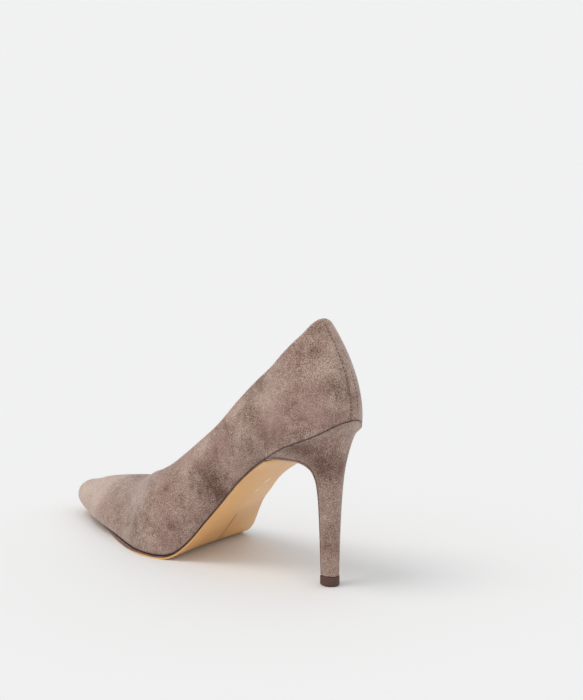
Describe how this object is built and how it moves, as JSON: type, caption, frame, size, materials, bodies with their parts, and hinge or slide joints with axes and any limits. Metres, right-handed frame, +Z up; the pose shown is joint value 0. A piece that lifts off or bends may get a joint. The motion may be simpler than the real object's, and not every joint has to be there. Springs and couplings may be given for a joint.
{
  "type": "stiletto pump",
  "caption": "Pointed suede pump for the left foot on a high covered stiletto heel, with a hollow upper, insole, thin leather outsole and rubber top piece.",
  "frame": {"origin": "middle of the top piece's face on the floor, under the heel's stem", "axes": "+X along the shoe towards the toe, +Y towards the outer side of the foot, +Z up"},
  "size_m": [0.2411, 0.0773, 0.1474],
  "materials": {
    "suede": "matt suede nap, taupe, mottled",
    "sock_leather": "satin",
    "sole_leather": "satin, tan, polished",
    "heel_rubber": "matt"
  },
  "bodies": {
    "root": {"upper": "suede", "insole": "sock_leather", "outsole": "sole_leather", "heel": "suede", "top_piece": "heel_rubber"}
  },
  "joints": []
}
